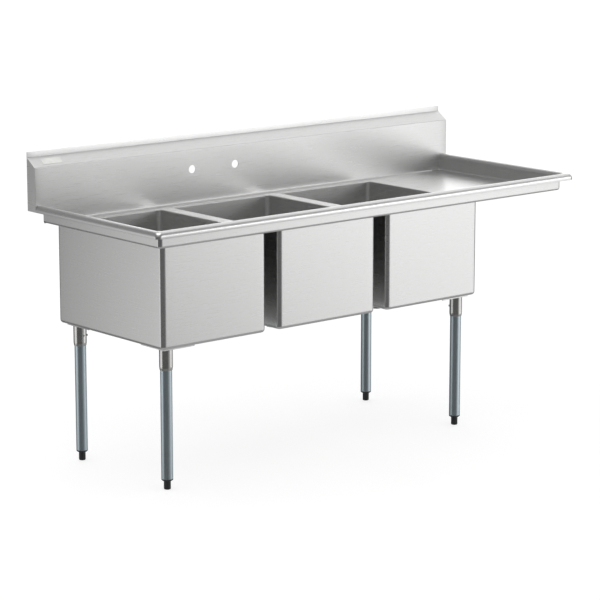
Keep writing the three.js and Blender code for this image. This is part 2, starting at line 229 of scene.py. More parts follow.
def brushed_sheet(name, dark, light, smooth, rough):
    """Mill-brushed stainless: fine level grain that spreads reflections across it."""
    material, tree, shader = node_material(name, light, 1.0, rough)
    shader.inputs["Anisotropic"].default_value = GRAIN_SPREAD
    shader.inputs["Anisotropic Rotation"].default_value = GRAIN_TURN
    uv = tree.nodes.new("ShaderNodeUVMap")
    uv.uv_map = "grain"
    tangent = tree.nodes.new("ShaderNodeTangent")
    tangent.direction_type = "UV_MAP"
    tangent.uv_map = "grain"
    tree.links.new(tangent.outputs["Tangent"], shader.inputs["Tangent"])
    fine = streaks(tree, uv.outputs["UV"], GRAIN_FINE)
    broad = streaks(tree, uv.outputs["UV"], GRAIN_BROAD)
    tree.links.new(remap(tree, broad, smooth, rough), shader.inputs["Roughness"])
    tree.links.new(tint(tree, fine, dark, light), shader.inputs["Base Color"])
    bumped(tree, shader, fine, GRAIN_DEPTH, 0.5)
    return material


steel = brushed_sheet("brushed_stainless", (0.772, 0.772, 0.767), (0.790, 0.790, 0.785), 0.27, 0.295)


def dress(piece, body, slot, material, *nodes):
    """Gives a piece its material, the body it moves with and the nodes it stands for."""
    piece.data.materials.clear()
    piece.data.materials.append(material)
    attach(piece, body)
    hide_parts(*nodes)


def rim_line(inset):
    """The plan line of the rim at one distance in from its outer edge, open at the backsplash."""
    if inset < RIM_WIDTH:
        radius = BEAD_CORNER + (PAN_CORNER - BEAD_CORNER) * inset / RIM_WIDTH
    else:
        radius = PAN_CORNER - (inset - RIM_WIDTH)
    x0, x1, y0 = rail_low.x + inset, rail_high.x - inset, rail_low.y + inset
    line = [(x0, DECK_REAR)]
    line += arc((x0 + radius, y0 + radius), radius, 180, 270, ARC_STEPS)
    line += arc((x1 - radius, y0 + radius), radius, 270, 360, ARC_STEPS)
    return line + [(x1, DECK_REAR)]


def bowl_loop(name, offset, straight=1):
    """The plan loop of a bowl's inner wall, moved inwards by the offset."""
    low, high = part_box("bowl_" + name)
    inset = SHEET + offset
    return rounded_loop(
        low.x + inset, high.x - inset, low.y + inset, high.y - inset, BOWL_CORNER - offset, straight
    )


def deck_and_rim():
    bead = arc((BEAD_RADIUS, BEAD_SPRING), BEAD_RADIUS, 0, 180, BEAD_STEPS)
    profile = [(0.0, rail_low.z)] + [(RIM_WIDTH - u, z) for u, z in bead]
    corner = (RIM_WIDTH + DECK_COVE, DECK_TOP + DECK_COVE)
    profile += arc(corner, DECK_COVE, 180, 270, COVE_STEPS)
    rows = [[(x, y, z) for x, y in rim_line(u)] for u, z in profile]
    verts, faces = skin(rows, closed=False)
    outline = rim_line(RIM_WIDTH + DECK_COVE)
    loops = [outline] + [bowl_loop(name, -BOWL_LIP) for name in NAMES]
    flat, edges, rings = [], [], []
    for loop in loops:
        first = len(flat)
        flat += [Vector(p) for p in loop]
        ring = list(range(first, len(flat)))
        rings.append(ring)
        edges += [(ring[i - 1], ring[i]) for i in range(len(ring))]
    found = delaunay_2d_cdt(flat, edges, rings, 5, 1e-7)
    start = len(verts)
    verts += [(p.x, p.y, DECK_TOP) for p in found[0]]
    faces += [tuple(start + i for i in face) for face in found[2]]
    piece = new_piece("deck_and_rolled_rim", verts, faces)
    face_out(piece, lambda at: Vector((at.x, at.y, DECK_TOP + 1)))
    finish_mesh(piece, SHEET)
    return piece


def face_out(piece, outside):
    """Turns all faces the same way, then so that the largest face looks at a point outside."""
    mesh = bmesh.new()
    mesh.from_mesh(piece.data)
    bmesh.ops.recalc_face_normals(mesh, faces=mesh.faces)
    mesh.faces.ensure_lookup_table()
    largest = max(mesh.faces, key=lambda f: f.calc_area())
    middle = largest.calc_center_median()
    if largest.normal.dot(outside(middle) - middle) < 0:
        bmesh.ops.reverse_faces(mesh, faces=mesh.faces)
    mesh.to_mesh(piece.data)
    mesh.free()


deck = deck_and_rim()
dress(
    deck, "sink_frame", "stainless_steel", steel,
    "deck_pan", "rim_rail_front", "rim_rail_left", "rim_rail_right",
)


# ---------------------------------------------------------------------------------------------
# Bowls: deep-drawn stainless tubs with rounded corners and a coved bottom that falls gently to the
# drain. Their top edge is welded to the deck and ground flush.
# ---------------------------------------------------------------------------------------------
BOWL_FALL = 0.0012
RECESS_DEPTH = 0.004
RECESS_GAP = 0.003
RECESS_LEDGE = 0.0155
RECESS_EASE = 0.002
RECESS_FOOT = 0.0005
LIP_STEPS = 5
EASE_STEPS = 4
FALL_ROWS = 6
STRAIGHT_PARTS = 10


def tub(name):
    low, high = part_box("bowl_" + name)
    drain_low, drain_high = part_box("drain_body_" + name)
    middle = ((low.x + high.x) / 2, (low.y + high.y) / 2)
    recess_floor = low.z + SHEET
    floor = recess_floor + RECESS_DEPTH
    recess = (drain_high.x - drain_low.x) / 2 + RECESS_GAP
    profile = arc((-BOWL_LIP, DECK_TOP - BOWL_LIP), BOWL_LIP, 90, 0, LIP_STEPS)
    profile += arc((BOWL_COVE, floor + BOWL_COVE), BOWL_COVE, 180, 270, COVE_STEPS)
    rows = [[(x, y, z) for x, y in bowl_loop(name, o, STRAIGHT_PARTS)] for o, z in profile]
    edge = bowl_loop(name, BOWL_COVE, STRAIGHT_PARTS)
    headings = [math.atan2(y - middle[1], x - middle[0]) for x, y in edge]

    def ring(radius, z):
        return [
            (middle[0] + radius * math.cos(a), middle[1] + radius * math.sin(a), z) for a in headings
        ]

    outer = ring(recess + RECESS_EASE, floor - BOWL_FALL)
    for i in range(1, FALL_ROWS + 1):
        t = i / FALL_ROWS
        rows.append(
            [
                (x + (ox - x) * t, y + (oy - y) * t, floor - BOWL_FALL * t)
                for (x, y), (ox, oy, _) in zip(edge, outer)
            ]
        )
    ease_middle = (recess + RECESS_EASE, floor - BOWL_FALL - RECESS_EASE)
    for radius, z in arc(ease_middle, RECESS_EASE, 90, 180, EASE_STEPS)[1:]:
        rows.append(ring(radius, max(z, recess_floor)))
    rows.append(ring(recess - RECESS_FOOT, recess_floor))
    rows.append(ring(recess - RECESS_LEDGE, recess_floor))
    verts, faces = skin(rows, closed=True)
    piece = new_piece("bowl_" + name + "_tub", verts, faces)
    face_out(piece, lambda at: Vector((middle[0], middle[1], high.z)))
    finish_mesh(piece, SHEET)
    return piece


for name in NAMES:
    dress(tub(name), "sink_frame", "stainless_steel", steel, "bowl_" + name)


# ---------------------------------------------------------------------------------------------
# Backsplash: one stainless sheet, coved up from the deck, bent back at the top and then upright
# again as a tile edge. Two holes are punched for the faucet. Flat caps are welded over its ends.
# ---------------------------------------------------------------------------------------------
SPLASH_COVE = 0.006
FOLD_RADIUS = 0.003
CREASE_RADIUS = 0.0025
TILE_EDGE = 0.020
SLOPE_RISE = 0.032
FAUCET_SPACING = 0.2032
FAUCET_RADIUS = 0.015
FAUCET_RISE = 0.1255
PUNCH_REACH = 0.02
CAP_EASE = 0.0004
FLAT_ENOUGH = 0.02


def rounded_line(points, radii, steps=6):
    """An open line of (y, z) points whose inner corners are rounded."""
    line = [points[0]]
    for i in range(1, len(points) - 1):
        at = Vector(points[i])
        back = (Vector(points[i - 1]) - at).normalized()
        ahead = (Vector(points[i + 1]) - at).normalized()
        half = back.angle(ahead) / 2
        middle = at + (back + ahead).normalized() * (radii[i - 1] / math.sin(half))
        start = at + back * (radii[i - 1] / math.tan(half))
        end = at + ahead * (radii[i - 1] / math.tan(half))
        for k in range(steps + 1):
            spoke = (start - middle).lerp(end - middle, k / steps).normalized() * radii[i - 1]
            line.append(tuple(middle + spoke))
    return line + [points[-1]]


def cut(piece, cutter):
    """Takes the cutter's shape out of a piece."""
    difference = piece.modifiers.new("cut", "BOOLEAN")
    difference.operation = "DIFFERENCE"
    difference.solver = "EXACT"
    difference.object = cutter
    bpy.context.view_layer.update()
    depsgraph = bpy.context.evaluated_depsgraph_get()
    piece.data = bpy.data.meshes.new_from_object(piece.evaluated_get(depsgraph))
    piece.modifiers.clear()
    bpy.data.objects.remove(cutter)


def round_bars(bars, sides):
    """Closed round bars, each from one point to another, in one object used as a cutter."""
    mesh = bmesh.new()
    for start, end, radius in bars:
        along = Vector(end) - Vector(start)
        place = Matrix.Translation((Vector(start) + Vector(end)) / 2)
        turn = Vector((0, 0, 1)).rotation_difference(along).to_matrix().to_4x4()
        bmesh.ops.create_cone(
            mesh, cap_ends=True, segments=sides, radius1=radius, radius2=radius,
            depth=along.length, matrix=place @ turn,
        )
    data = bpy.data.meshes.new("cutter")
    mesh.to_mesh(data)
    mesh.free()
    cutter = bpy.data.objects.new("cutter", data)
    bpy.context.scene.collection.objects.link(cutter)
    return cutter


def splash_sheet():
    face, back, top = splash_low.y, splash_high.y - SHEET, splash_high.z
    corners = [
        (face - SPLASH_COVE * 2, DECK_TOP),
        (face, DECK_TOP),
        (face, top - TILE_EDGE - SLOPE_RISE),
        (back, top - TILE_EDGE),
        (back, top),
    ]
    line = rounded_line(corners, (SPLASH_COVE, FOLD_RADIUS, CREASE_RADIUS))[1:]
    lip = next(i for i, (y, z) in enumerate(line) if z > rail_low.z)
    line.insert(lip, (face, rail_low.z))
    columns = (splash_low.x, pan_low.x, pan_high.x, splash_high.x)
    rows = [[(x, y, z) for x in columns] for y, z in line]
    verts, faces = skin(rows, closed=False)
    wings = {r * 3 + c for r in range(lip) for c in (0, 2)}
    faces = [f for i, f in enumerate(faces) if i not in wings]
    piece = new_piece("backsplash_sheet", verts, faces)
    face_out(piece, lambda at: at - Vector((0, 1, 0)))
    finish_mesh(piece, SHEET)
    low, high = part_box("bowl_centre")
    middle, height = (low.x + high.x) / 2, DECK_TOP + FAUCET_RISE
    holes = []
    for x in (middle - FAUCET_SPACING / 2, middle + FAUCET_SPACING / 2):
        holes.append(
            ((x, face - PUNCH_REACH, height), (x, face + PUNCH_REACH, height), FAUCET_RADIUS)
        )
    cut(piece, round_bars(holes, 48))
    finish_mesh(piece)
    return piece


def eased_copy(node, name, bevel):
    """The node's own shape with its sharp edges eased."""
    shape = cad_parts[node].data
    piece = new_piece(name, [v.co for v in shape.vertices], [tuple(f.vertices) for f in shape.polygons])
    mesh = bmesh.new()
    mesh.from_mesh(piece.data)
    bmesh.ops.dissolve_limit(mesh, angle_limit=FLAT_ENOUGH, verts=mesh.verts, edges=mesh.edges)
    mesh.to_mesh(piece.data)
    mesh.free()
    finish_mesh(piece, bevel=bevel)
    return piece


dress(splash_sheet(), "sink_frame", "stainless_steel", steel, "backsplash")
for side in ("left", "right"):
    node = "splash_end_cap_" + side
    cap = eased_copy(node, "splash_cap_" + side, CAP_EASE)
    dress(cap, "sink_frame", "stainless_steel", steel, node)


# ---------------------------------------------------------------------------------------------
# Label: a small rounded sticker of white film, left blank, stuck near the left end of the slope.
# ---------------------------------------------------------------------------------------------
LABEL_CORNER = 0.003
LABEL_MARGIN = 0.0008
FILM_ROWS = ((-0.0003, 0), (0.0001, 0), (0.00025, 0.0003))


def label_film():
    low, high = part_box("blank_label")
    along = Vector((0, high.y - low.y, high.z - low.z))
    slope = Vector((0, splash_high.y - SHEET - splash_low.y, SLOPE_RISE)).normalized()
    out = Vector((0, -slope.z, slope.y))
    middle = (low + high) / 2
    width, length = along.length - LABEL_MARGIN, high.x - low.x
    loop = rounded_loop(-length / 2, length / 2, -width / 2, width / 2, LABEL_CORNER)
    rows = []
    for rise, inset in FILM_ROWS:
        scale_x, scale_y = 1 - 2 * inset / length, 1 - 2 * inset / width
        at = middle + out * rise
        rows.append([tuple(at + Vector((a * scale_x, 0, 0)) + slope * b * scale_y) for a, b in loop])
    verts, faces = skin(rows, closed=True)
    count = len(loop)
    faces += [tuple(range(count)), tuple(range(2 * count, 3 * count))]
    piece = new_piece("label_film", verts, faces)
    face_out(piece, lambda at: at + out)
    finish_mesh(piece)
    return piece


film, tree, shader = node_material("label_white_film", (0.86, 0.86, 0.84), 0.0, 0.35)
place = tree.nodes.new("ShaderNodeTexCoord").outputs["Object"]
tree.links.new(
    tint(tree, streaks(tree, place, (60, 60, 60)), (0.80, 0.80, 0.77), (0.90, 0.90, 0.88)),
    shader.inputs["Base Color"],
)
gloss = streaks(tree, place, (300, 300, 300))
tree.links.new(remap(tree, gloss, 0.28, 0.45), shader.inputs["Roughness"])
dress(label_film(), "sink_frame", "label_film", film, "blank_label")


# ---------------------------------------------------------------------------------------------
# Drains: turned stainless flange and cup with a threaded tail, clamped under the bowl by a rubber
# gasket and a lugged locknut. A perforated basket with a rubber stopper lifts out of each.
# ---------------------------------------------------------------------------------------------
LATHE_SIDES = 72
TURNED_EASE = 0.0006
FLANGE = 0.002
CUP_RADIUS, CUP_DEPTH = 0.041, 0.030
CONE_DEPTH = 0.0445
TAIL_RADIUS, TAIL_WALL = 0.024, 0.003
GASKET_BORE = 0.043
LOCKNUT_EASE = 0.0005
BASKET_RADIUS, BASKET_WALL = 0.038, 0.001
BASKET_FLOOR, BASKET_DEPTH = 0.0285, 0.027
BASKET_EASE = 0.0004
LIP_GAP = 0.0003
STEM_RADIUS = 0.0032
KNOB_RADIUS, KNOB_HEIGHT = 0.0066, 0.007
KNOB_TOP = 0.004
HOLE_RADIUS, HOLE_REACH, HOLE_SIDES = 0.0019, 0.004, 12
SIDE_ROWS, SIDE_HOLES = 3, 26
FIRST_ROW, ROW_STEP = 0.004, 0.007
FLOOR_HOLES = ((8, 0.010), (14, 0.017), (20, 0.024))
STOPPER_TIP, STOPPER_TOP = 0.020, 0.007


def turned(name, profile, middle, sides=LATHE_SIDES, wave=None):
    """A closed outline of (radius, height) points, turned about an upright axis."""
    rows = []
    for radius, z in profile:
        row = []
        for i in range(sides):
            angle = 2 * math.pi * i / sides
            r = radius + (wave(angle, radius, z) if wave else 0)
            row.append((middle[0] + r * math.cos(angle), middle[1] + r * math.sin(angle), z))
        rows.append(row)
    on_axis = profile[0][0] == 0
    if not on_axis:
        rows.append(rows[0])
    verts, faces = skin(rows, closed=True)
    faces = [f for f in faces if not (on_axis and len({tuple(verts[i]) for i in f}) < 3)]
    piece = new_piece(name, verts, faces)
    mesh = bmesh.new()
    mesh.from_mesh(piece.data)
    bmesh.ops.dissolve_degenerate(mesh, dist=1e-7, edges=mesh.edges)
    bmesh.ops.recalc_face_normals(mesh, faces=mesh.faces)
    mesh.to_mesh(piece.data)
    mesh.free()
    return piece


def eased(points, radius, steps=3):
    """Rounds every corner of a closed outline, or of one that starts and ends on the axis."""
    open_line = points[0][0] == 0
    around = points if open_line else [points[-1]] + points + [points[0]]
    line = rounded_line(around, [radius] * (len(around) - 2), steps)
    return line if open_line else line[1:-1]


def middle_of(node):
    low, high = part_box(node)
    return ((low.x + high.x) / 2, (low.y + high.y) / 2), low, high


def turned_metal(name, dark, light, smooth, rough, scale):
    """Metal finished on a lathe or plated: fine rings round the axis."""
    material, tree, shader = node_material(name, light, 1.0, rough)
    place = tree.nodes.new("ShaderNodeTexCoord").outputs["Object"]
    rings = streaks(tree, place, scale)
    patches = streaks(tree, place, (70, 70, 70))
    tree.links.new(remap(tree, rings, smooth, rough), shader.inputs["Roughness"])
    tree.links.new(tint(tree, patches, dark, light), shader.inputs["Base Color"])
    bumped(tree, shader, rings, 0.00002, 0.4)
    return material


def black_moulded(name, colour, rough, scale):
    """Moulded rubber or plastic with a fine skin texture."""
    material, tree, shader = node_material(name, colour, 0.0, rough)
    place = tree.nodes.new("ShaderNodeTexCoord").outputs["Object"]
    grain = streaks(tree, place, (scale, scale, scale))
    tree.links.new(remap(tree, grain, rough - 0.08, rough + 0.08), shader.inputs["Roughness"])
    paler = tuple(c * 1.9 for c in colour)
    shade = tint(tree, streaks(tree, place, (90, 90, 90)), colour, paler)
    tree.links.new(shade, shader.inputs["Base Color"])
    bumped(tree, shader, grain, 0.00006, 0.35)
    return material


polished = turned_metal(
    "polished_stainless", (0.76, 0.755, 0.74), (0.82, 0.815, 0.80), 0.19, 0.26, (20, 20, 1400)
)
zinc = turned_metal(
    "zinc_plating", (0.50, 0.51, 0.53), (0.62, 0.63, 0.64), 0.26, 0.38, (900, 900, 900)
)
rubber = black_moulded("black_rubber", (0.016, 0.016, 0.016), 0.62, 2200)


def drain_parts(name):
    middle, low, high = middle_of("drain_body_" + name)
    flange = (high.x - low.x) / 2
    cone_top, cone_low = high.z - CUP_DEPTH, high.z - CONE_DEPTH
    outline = [
        (flange, high.z),
        (flange, high.z - FLANGE),
        (CUP_RADIUS + SHEET, high.z - FLANGE),
        (CUP_RADIUS + SHEET, cone_top - SHEET),
        (TAIL_RADIUS, cone_low - SHEET),
        (TAIL_RADIUS, low.z),
        (TAIL_RADIUS - TAIL_WALL, low.z),
        (TAIL_RADIUS - TAIL_WALL, cone_low),
        (CUP_RADIUS, cone_top),
        (CUP_RADIUS, high.z),
    ]
    body = turned("drain_cup_" + name, eased(outline, TURNED_EASE), middle)
    finish_mesh(body)
    dress(body, "sink_frame", "polished_stainless", polished, "drain_body_" + name)

    middle, low, high = middle_of("drain_gasket_" + name)
    outer = (high.x - low.x) / 2
    ring = [(GASKET_BORE, low.z), (outer, low.z), (outer, high.z), (GASKET_BORE, high.z)]
    gasket = turned("gasket_" + name, eased(ring, TURNED_EASE), middle)
    finish_mesh(gasket)
    dress(gasket, "sink_frame", "black_rubber", rubber, "drain_gasket_" + name)

    node = "drain_locknut_" + name
    nut = eased_copy(node, "locknut_" + name, LOCKNUT_EASE)
    dress(nut, "sink_frame", "zinc_plated_steel", zinc, node)


def strainer(name):
    middle, low, high = middle_of("strainer_basket_" + name)
    lip = (high.x - low.x) / 2
    drain_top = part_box("drain_body_" + name)[1].z
    rim_low, shoulder = drain_top + LIP_GAP, drain_top - BASKET_DEPTH
    rim_high, floor_high = rim_low + BASKET_WALL, low.z + BASKET_WALL
    inner = BASKET_RADIUS - BASKET_WALL
    outline = [
        (0, low.z),
        (BASKET_FLOOR, low.z),
        (BASKET_RADIUS, shoulder),
        (BASKET_RADIUS, rim_low),
        (lip, rim_low),
        (lip, rim_high),
        (inner, rim_high),
        (inner, shoulder + BASKET_WALL / 2),
        (BASKET_FLOOR - BASKET_WALL / 2, floor_high),
        (STEM_RADIUS, floor_high),
        (STEM_RADIUS, high.z - KNOB_HEIGHT),
        (KNOB_RADIUS, high.z - 0.005),
        (KNOB_RADIUS, high.z - 0.0025),
        (KNOB_TOP, high.z),
        (0, high.z),
    ]
    piece = turned("basket_" + name, eased(outline, BASKET_EASE), middle)
    bars = []
    for row in range(SIDE_ROWS):
        at = Vector((*middle, shoulder + FIRST_ROW + row * ROW_STEP))
        for i in range(SIDE_HOLES):
            angle = 2 * math.pi * (i + row / 2) / SIDE_HOLES
            away = Vector((math.cos(angle), math.sin(angle), 0))
            start = at + away * (BASKET_RADIUS - HOLE_REACH)
            bars.append((start, start + away * HOLE_REACH * 2, HOLE_RADIUS))
    for count, reach in FLOOR_HOLES:
        for i in range(count):
            angle = 2 * math.pi * i / count
            x, y = middle[0] + reach * math.cos(angle), middle[1] + reach * math.sin(angle)
            bars.append(((x, y, low.z - HOLE_REACH), (x, y, low.z + HOLE_REACH), HOLE_RADIUS))
    cut(piece, round_bars(bars, HOLE_SIDES))
    finish_mesh(piece)
    dress(piece, "basket_" + name, "polished_stainless", polished, "strainer_basket_" + name)

    middle, low, high = middle_of("basket_stopper_" + name)
    wide = (high.x - low.x) / 2
    plug = [
        (0, low.z),
        (STOPPER_TIP, low.z),
        (wide, (low.z + high.z) / 2),
        (wide, high.z - 0.001),
        (STOPPER_TOP, high.z),
        (0, high.z),
    ]
    stopper = turned("stopper_" + name, eased(plug, TURNED_EASE), middle)
    finish_mesh(stopper)
    dress(stopper, "basket_" + name, "black_rubber", rubber, "basket_stopper_" + name)


for name in NAMES:
    drain_parts(name)
    strainer(name)


# ---------------------------------------------------------------------------------------------
# Legs: a stainless socket is welded to a pressed gusset under each outer bowl corner. It grips a
# galvanised tube with a set screw and has a small sight hole.
# ---------------------------------------------------------------------------------------------
CORNERS = {"front_left": (1, 1), "front_right": (-1, 1), "rear_left": (1, -1), "rear_right": (-1, -1)}
GUSSET_EASE = 0.0008
SOCKET_GAP = 0.0005
SOCKET_MOUTH = ((0.0008, 0), (-0.0004, 0.008), (0, 0.012))
SOCKET_EASE = 0.0003
BORE_REACH = 0.004
SIGHT_RADIUS = 0.003
SCREW_DROP = 0.0404
SCREW_RADIUS = 0.0037
SCREW_GAP, SCREW_STANDS, SCREW_EASE = 0.0002, 0.0032, 0.0004
HEX_RADIUS, HEX_DEPTH = 0.0019, 0.0022
WELD_WIDTH, WELD_SIDES = 0.0018, 96
WELD_RIPPLE, WELD_RIPPLES = 0.00025, 40
TUBE_WALL = 0.00165


def galvanised():
    """Bluish zinc with faint spangle, drawn out a little along the tube."""
    material, tree, shader = node_material("galvanised_zinc", (0.62, 0.73, 0.78), 1.0, 0.3)
    place = tree.nodes.new("ShaderNodeTexCoord").outputs["Object"]
    spangle = tree.nodes.new("ShaderNodeTexVoronoi")
    spangle.inputs["Scale"].default_value = 120
    tree.links.new(place, spangle.inputs["Vector"])
    drawn = streaks(tree, place, (420, 420, 12))
    mix = tree.nodes.new("ShaderNodeMath")
    mix.operation = "MULTIPLY_ADD"
    mix.inputs[1].default_value = 0.35
    tree.links.new(spangle.outputs["Distance"], mix.inputs[0])
    tree.links.new(drawn, mix.inputs[2])
    tree.links.new(remap(tree, mix.outputs[0], 0.28, 0.37), shader.inputs["Roughness"])
    tree.links.new(
        tint(tree, mix.outputs[0], (0.60, 0.71, 0.76), (0.66, 0.77, 0.82)), shader.inputs["Base Color"]
    )
    bumped(tree, shader, drawn, 0.00003, 0.3)
    return material


zinc_tube = galvanised()
plastic = black_moulded("black_plastic", (0.010, 0.011, 0.012), 0.40, 1600)


def rippled(angle, radius, z):
    """The even ripple of a hand weld."""
    return WELD_RIPPLE * math.sin(WELD_RIPPLES * angle)


def leg(name, inwards):
    node = "gusset_" + name
    plate = eased_copy(node, "gusset_plate_" + name, GUSSET_EASE)
    dress(plate, "sink_frame", "stainless_steel", steel, node)

    middle, low, high = middle_of("leg_socket_" + name)
    radius = (high.x - low.x) / 2
    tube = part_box("leg_tube_" + name)
    bore = (tube[1].x - tube[0].x) / 2 + SOCKET_GAP
    mouth, taper, shoulder = SOCKET_MOUTH
    outline = [
        (bore, low.z),
        (bore + mouth[0], low.z + mouth[1]),
        (radius + taper[0], low.z + taper[1]),
        (radius + shoulder[0], low.z + shoulder[1]),
        (radius, high.z),
        (bore, high.z),
    ]
    socket = turned("socket_" + name, eased(outline, SOCKET_EASE), middle)
    screw_z = high.z - SCREW_DROP
    across = Vector((inwards[0], inwards[1], 0)).normalized()
    centre = Vector((middle[0], middle[1], screw_z))
    sight = Vector((0, inwards[1], 0))
    start, end = bore - BORE_REACH, radius + BORE_REACH
    bars = [
        (centre + across * start, centre + across * end, SCREW_RADIUS + SCREW_GAP),
        (centre + sight * start, centre + sight * end, SIGHT_RADIUS),
    ]
    cut(socket, round_bars(bars, 24))
    finish_mesh(socket)
    dress(socket, "sink_frame", "polished_stainless", polished, "leg_socket_" + name)

    half = WELD_WIDTH / 2
    bead = arc((radius + half, high.z - half), half, 0, 330, 11)
    weld = turned("socket_weld_" + name, bead, middle, WELD_SIDES, rippled)
    finish_mesh(weld)
    weld.data.materials.append(steel)
    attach(weld, "sink_frame")

    base, tip = bore + 0.0006, radius + SCREW_STANDS
    screw = round_bars([(centre + across * base, centre + across * tip, SCREW_RADIUS)], 32)
    screw.name = "screw_" + name
    start, end = centre + across * (tip - HEX_DEPTH), centre + across * (tip + HEX_DEPTH)
    cut(screw, round_bars([(start, end, HEX_RADIUS)], 6))
    finish_mesh(screw, bevel=SCREW_EASE)
    dress(screw, "sink_frame", "zinc_plated_steel", zinc, "set_screw_" + name)

    low, high = tube
    radius = (high.x - low.x) / 2
    inner = radius - TUBE_WALL
    pipe = [(inner, low.z), (radius, low.z), (radius, high.z), (inner, high.z)]
    piece = turned("tube_" + name, eased(pipe, TURNED_EASE), middle)
    finish_mesh(piece)
    dress(piece, "sink_frame", "galvanised_steel", zinc_tube, "leg_tube_" + name)


for name, inwards in CORNERS.items():
    leg(name, inwards)


# ---------------------------------------------------------------------------------------------
# Feet: a moulded insert is pressed into each tube. A bullet foot on a threaded stud screws up and
# down in it to level the sink.
# ---------------------------------------------------------------------------------------------
INSERT_BORE = 0.0085
INSERT_BASE = 0.0132
INSERT_GAP = 0.00195
INSERT_EASE = 0.0005
COLLAR = 0.0084
THREAD_PITCH = 0.002
THREAD_DEPTH = 0.0011
THREAD_GAP = 0.0001
STUD_ROWS, STUD_SIDES = 6, 32
FLUTES, FLUTE_DEPTH, FLUTE_START = 12, 0.0005, 0.003
FOOT_WELL = 0.0087
FOOT_SIDES = 96


def thread(angle, radius, z):
    """How far a thread's flank lies inside the stud's outer radius."""
    if radius == 0:
        return 0
    phase = (z / THREAD_PITCH - angle / (2 * math.pi)) % 1
    return -THREAD_DEPTH * (1 - abs(2 * phase - 1)) - THREAD_GAP


def foot(name):
    middle, low, high = middle_of("foot_insert_" + name)
    radius = (high.x - low.x) / 2
    collar = low.z + COLLAR
    inside = radius - INSERT_GAP
    outline = [
        (INSERT_BORE, low.z),
        (INSERT_BASE, low.z),
        (radius - 0.0012, collar - 0.0042),
        (radius, collar - 0.0022),
        (radius, collar),
        (inside, collar),
        (inside, high.z),
        (INSERT_BORE, high.z),
    ]
    insert = turned("insert_" + name, eased(outline, INSERT_EASE), middle)
    finish_mesh(insert)
    dress(insert, "sink_frame", "black_plastic", plastic, "foot_insert_" + name)

    middle, low, high = middle_of("foot_stud_" + name)
    radius = (high.x - low.x) / 2
    rows = int((high.z - low.z) / THREAD_PITCH * STUD_ROWS)
    profile = [(0, low.z)]
    profile += [(radius, low.z + (high.z - low.z) * i / rows) for i in range(rows + 1)]
    profile += [(0, high.z)]
    stud = turned("stud_" + name, profile, middle, STUD_SIDES, thread)
    finish_mesh(stud)
    dress(stud, "stud_" + name, "zinc_plated_steel", zinc, "foot_stud_" + name)

    middle, low, high = middle_of("bullet_foot_" + name)
    radius = (high.x - low.x) / 2
    well = low.z + FOOT_WELL
    outline = [
        (0, low.z),
        (radius - 0.0028, low.z),
        (radius - 0.0007, low.z + 0.0012),
        (radius, low.z + 0.004),
        (radius, high.z - 0.002),
        (radius - 0.0006, high.z),
        (INSERT_BORE, high.z),
        (INSERT_BORE, well),
        (0, well),
    ]

    def fluted(angle, r, z):
        if r < radius - 0.0001 or z < low.z + FLUTE_START:
            return 0
        return -FLUTE_DEPTH * max(0, math.cos(FLUTES * angle)) ** 2

    shoe = turned("foot_" + name, eased(outline, TURNED_EASE), middle, FOOT_SIDES, fluted)
    finish_mesh(shoe)
    dress(shoe, "foot_" + name, "black_plastic", plastic, "bullet_foot_" + name)


for name in CORNERS:
    foot(name)


# ---------------------------------------------------------------------------------------------
# Studio: a white floor and three soft panels in a dim room that only reflections see. The room is
# bright overhead, and on the right at its ceiling and rear. All other light is an even white dome.
# ---------------------------------------------------------------------------------------------
SQUARE = ((-1, -1), (1, -1), (1, 1), (-1, 1))
FLOOR_HALF = 40
FLOOR_GLOW = 0.72
DOME = 1.15
AMBIENT = 0.11
UPPER_WALLS = 0.20
CEILING = 1.30
OVERHEAD = 2.0
REAR_SKY = 2.0
SIDE_GLOW = 0.3
GROUND = 0.42


def studio_floor():
    corners = [(x * FLOOR_HALF, y * FLOOR_HALF, 0) for x, y in SQUARE]
    floor = new_piece("studio_floor", corners, [(0, 1, 2, 3)])
    material, tree, shader = node_material("studio_floor_paint", (0.34, 0.34, 0.34), 0.0, 0.9)
    place = tree.nodes.new("ShaderNodeTexCoord").outputs["Object"]
    mottle = tint(tree, streaks(tree, place, (2, 2, 2)), (0.33, 0.33, 0.33), (0.35, 0.35, 0.35))
    tree.links.new(mottle, shader.inputs["Base Color"])
    shader.inputs["Emission Color"].default_value = (1, 1, 1, 1)
    shader.inputs["Emission Strength"].default_value = FLOOR_GLOW
    floor.data.materials.append(material)
    floor.visible_glossy = False


def joined(tree, operation, first, *others):
    """One value from several outputs or plain numbers, taken two at a time."""
    for other in others:
        node = tree.nodes.new("ShaderNodeMath")
        node.operation = operation
        tree.links.new(first, node.inputs[0])
        if isinstance(other, (int, float)):
            node.inputs[1].default_value = other
        else:
            tree.links.new(other, node.inputs[1])
        first = node.outputs[0]
    return first


def fade(tree, value, dark, bright):
    """Rises smoothly from 0 to 1 as the value goes from dark to bright."""
    node = tree.nodes.new("ShaderNodeMapRange")
    node.interpolation_type = "SMOOTHSTEP"
    node.inputs["From Min"].default_value = dark
    node.inputs["From Max"].default_value = bright
    tree.links.new(value, node.inputs["Value"])
    return node.outputs["Result"]


